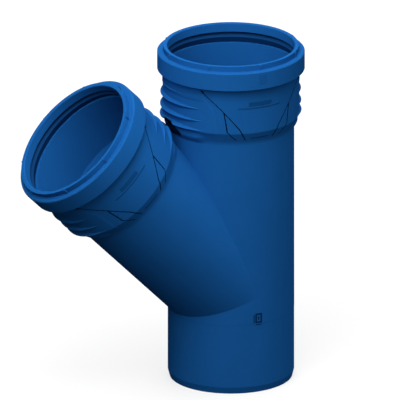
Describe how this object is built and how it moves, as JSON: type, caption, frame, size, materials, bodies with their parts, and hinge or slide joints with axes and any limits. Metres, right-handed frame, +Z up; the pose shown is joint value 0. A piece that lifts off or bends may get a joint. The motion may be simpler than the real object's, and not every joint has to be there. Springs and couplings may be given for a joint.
{
  "type": "lateral wye pipe fitting",
  "caption": "Push-fit 45-degree lateral wye for drain pipe: straight run with a spigot below and a socket above, and an equal slanted branch ending in a socket, with rubber sealing rings.",
  "frame": {"origin": "centre of the spigot's end face, on the run's axis", "axes": "+Z up the run's axis from the spigot to the run socket; the branch lies in the XZ plane and leans towards -X; the fitting's face, as pictured, is towards -Y"},
  "size_m": [0.2588, 0.1286, 0.3034],
  "materials": {
    "blue_plastic": "satin moulded plastic",
    "seal_rubber": "dark rubber"
  },
  "bodies": {
    "root": {"wye_body": "blue_plastic", "run_socket_seal": "seal_rubber", "branch_socket_seal": "seal_rubber"}
  },
  "joints": []
}
